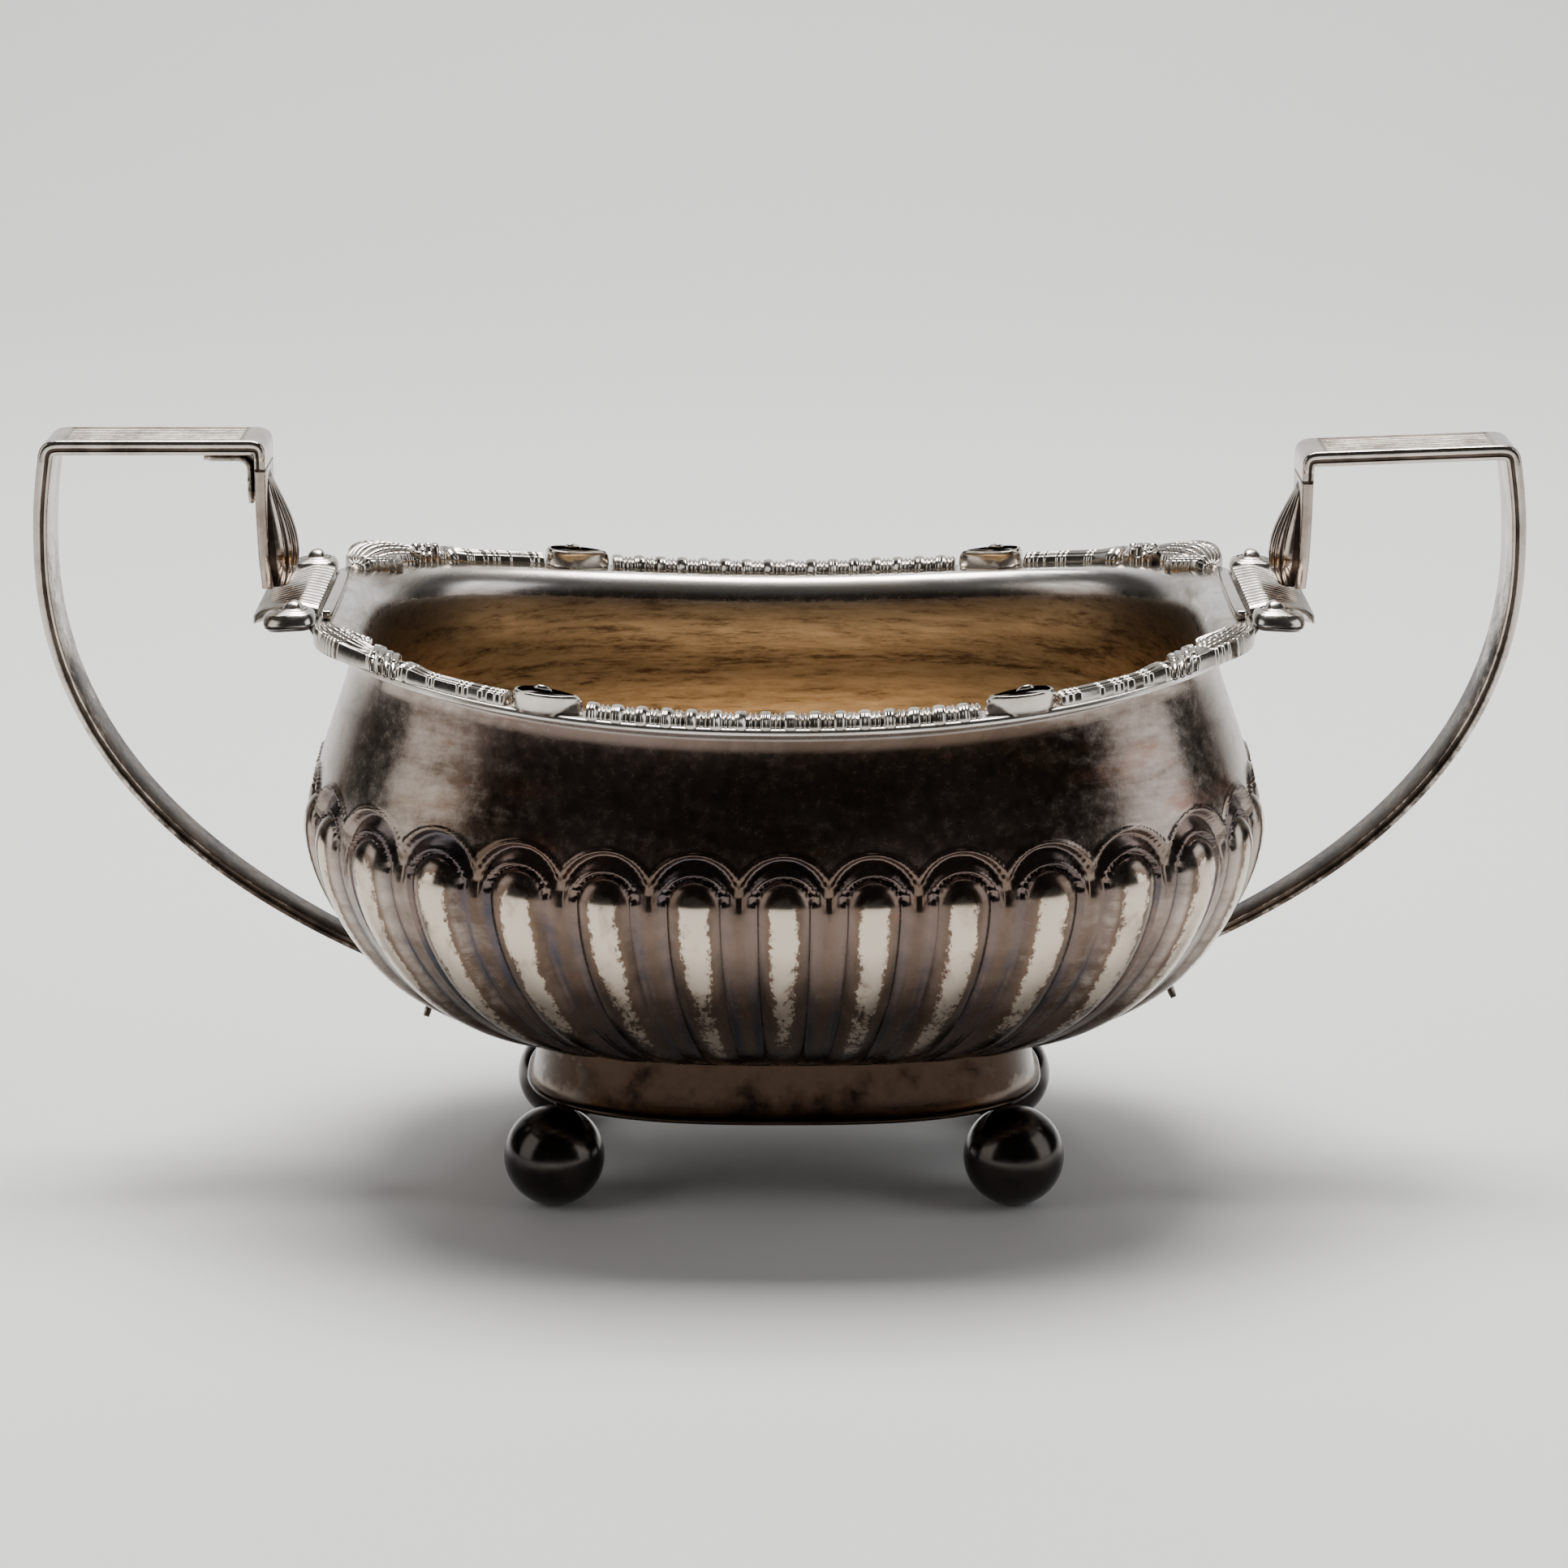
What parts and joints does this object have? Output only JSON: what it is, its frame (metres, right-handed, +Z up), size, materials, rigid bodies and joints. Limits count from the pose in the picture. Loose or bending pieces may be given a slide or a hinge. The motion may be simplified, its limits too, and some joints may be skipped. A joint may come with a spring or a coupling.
{
  "type": "sugar bowl",
  "caption": "Oblong half-fluted silver sugar bowl with a saddle-shaped cast rim border, two angular strap handles, a collar foot and ball feet.",
  "frame": {"origin": "on the surface the bowl stands on, under the middle of the bowl", "axes": "+X along the bowl from the left handle to the right one, +Y from the front to the back, +Z up"},
  "size_m": [0.2078, 0.1006, 0.1066],
  "materials": {
    "body_silver": "old silver, dark brown and grey tarnish on a polished ground; worn gilding inside",
    "foot_silver": "dark brown tarnished silver, polished",
    "ball_silver": "near-black tarnished silver, high polish",
    "border_silver": "cast silver, bright on the high places and dark in the hollows",
    "handle_silver": "bright polished silver with dark flecks",
    "repair_silver": "dull grey solder and sheet"
  },
  "bodies": {
    "root": {"acanthus_corner_back_left": "border_silver", "acanthus_corner_back_right": "border_silver", "acanthus_corner_front_left": "border_silver", "acanthus_corner_front_right": "border_silver", "ball_foot_back_left": "ball_silver", "ball_foot_back_right": "ball_silver", "ball_foot_front_left": "ball_silver", "ball_foot_front_right": "ball_silver", "bowl_body": "body_silver", "end_bar_left": "border_silver", "end_bar_right": "border_silver", "end_scroll_back_left": "border_silver", "end_scroll_back_right": "border_silver", "end_scroll_front_left": "border_silver", "end_scroll_front_right": "border_silver", "foot_collar": "foot_silver", "gadroon_back": "border_silver", "gadroon_front": "border_silver", "handle_repair_plate_left": "repair_silver", "handle_strap_left": "handle_silver", "handle_strap_right": "handle_silver", "handle_upright_left": "handle_silver", "handle_upright_right": "handle_silver", "reed_branch_back_left": "border_silver", "reed_branch_back_right": "border_silver", "reed_branch_front_left": "border_silver", "reed_branch_front_right": "border_silver", "socket_plate_left": "border_silver", "socket_plate_right": "border_silver", "volute_back_left": "border_silver", "volute_back_right": "border_silver", "volute_front_left": "border_silver", "volute_front_right": "border_silver"}
  },
  "joints": []
}
